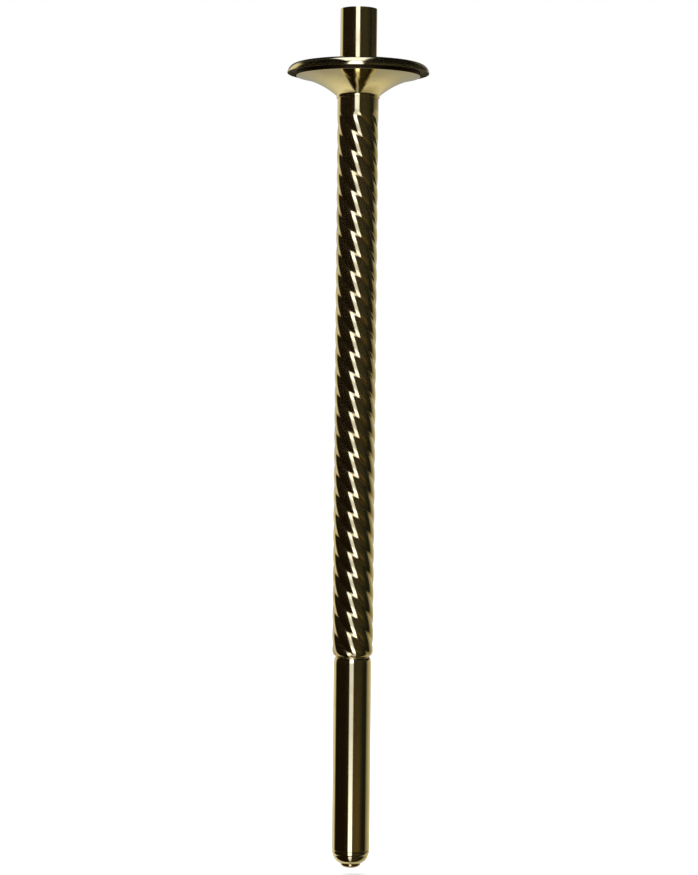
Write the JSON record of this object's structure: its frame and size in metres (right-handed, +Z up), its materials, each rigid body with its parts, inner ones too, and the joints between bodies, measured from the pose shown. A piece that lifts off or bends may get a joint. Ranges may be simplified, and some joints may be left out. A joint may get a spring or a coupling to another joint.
{
  "type": "altar candlestick",
  "caption": "Polished brass candlestick: candle socket over a drip pan and bell, spiral-grooved stem, plain handle that plugs into a holder.",
  "frame": {"origin": "lowest point of the tip button, on the stem's axis", "axes": "+Z up along the stem to the candle socket's mouth; front towards -Y"},
  "size_m": [0.132, 0.132, 0.8],
  "materials": {
    "polished_brass": "mirror polished and lacquered",
    "turned_brass": "as turned, satin",
    "plated_steel": "zinc plated, bright"
  },
  "bodies": {
    "stem": {"tie_rod": "plated_steel", "end_cap": "polished_brass", "handle_tube": "polished_brass", "neck_plug": "turned_brass", "twist_tube": "polished_brass", "top_plug": "turned_brass", "pan_bell": "polished_brass", "drip_pan": "polished_brass", "pan_nut_washer": "plated_steel", "pan_nut": "plated_steel"},
    "socket_ring": {"socket_washer": "polished_brass"},
    "socket": {"candle_socket": "polished_brass", "socket_base": "turned_brass"},
    "tip_ring": {"end_washer": "polished_brass"},
    "tip": {"end_button": "polished_brass"}
  },
  "joints": [
    {"name": "socket_lift", "type": "slide", "parent": "stem", "child": "socket_ring", "axis": [0, 0, 1], "range_m": [0, 0.005]},
    {"name": "socket_turn", "type": "hinge", "parent": "socket_ring", "child": "socket", "pos_m": [0, 0, 0.7505], "axis": [0, 0, 1], "range_deg": [0, 1441]},
    {"name": "tip_drop", "type": "slide", "parent": "stem", "child": "tip_ring", "axis": [0, 0, -1], "range_m": [0, 0.0075]},
    {"name": "tip_turn", "type": "hinge", "parent": "tip_ring", "child": "tip", "pos_m": [0, 0, 0.0033], "axis": [0, 0, -1], "range_deg": [0, 2161]}
  ],
  "couplings": [
    {"joint": "socket_turn", "follows": "socket_lift", "rad_per_m": 5026.5},
    {"joint": "tip_turn", "follows": "tip_drop", "rad_per_m": 5026.5}
  ]
}
